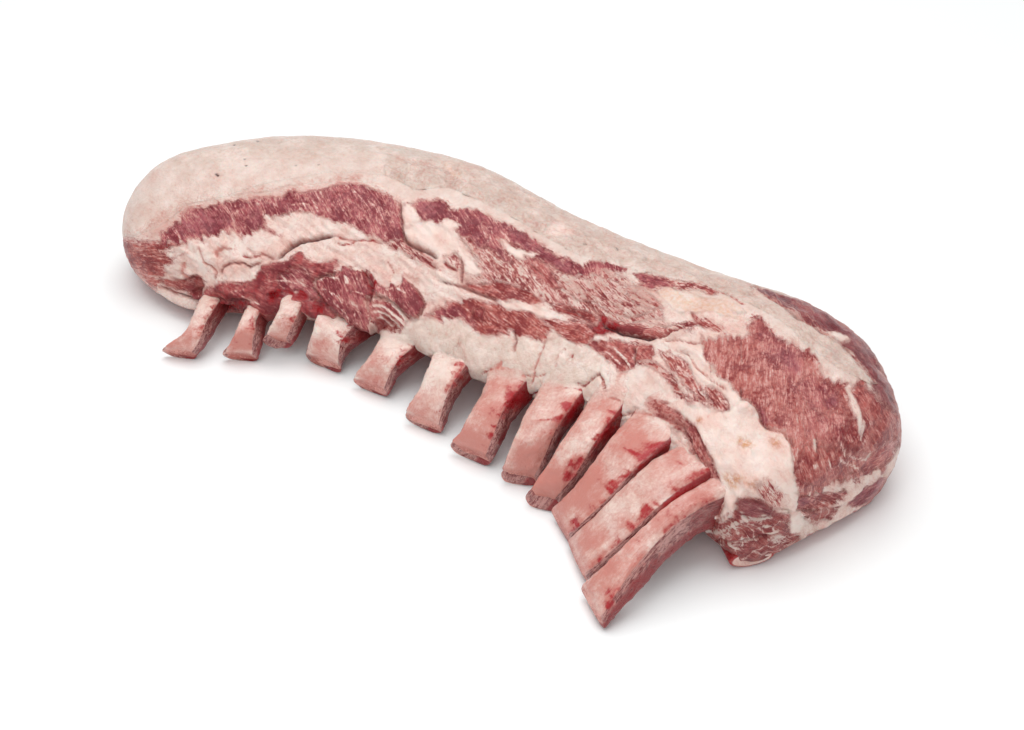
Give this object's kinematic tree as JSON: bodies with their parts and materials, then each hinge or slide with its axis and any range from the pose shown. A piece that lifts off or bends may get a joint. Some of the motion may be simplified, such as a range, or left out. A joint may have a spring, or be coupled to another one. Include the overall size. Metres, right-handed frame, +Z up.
{
  "type": "raw rack of pork",
  "caption": "Long curved piece of raw bone-in loin lying fat side up, with marbled lean, a pale fat cap along the back and short frenched rib bones reaching down to the table.",
  "frame": {"origin": "under the centre of the whole piece, on the surface it lies on", "axes": "+X along the rack, from the end with the short bones to the end with the long bones; +Z up; the bones reach towards -Y"},
  "size_m": [0.4824, 0.2258, 0.087],
  "materials": {
    "lean_meat": "moist raw lean meat streaked with fat",
    "fat": "moist smooth fat",
    "bone": "moist scraped bone with bloody edges"
  },
  "bodies": {
    "root": {"meat": "lean_meat", "fat_cap": "fat", "rib_01": "bone", "rib_02": "bone", "rib_03": "bone", "rib_04": "bone", "rib_05": "bone", "rib_06": "bone", "rib_07": "bone", "rib_08": "bone", "rib_09": "bone", "rib_10": "bone", "rib_11": "bone", "rib_12": "bone", "bone_slice": "bone"}
  },
  "joints": []
}
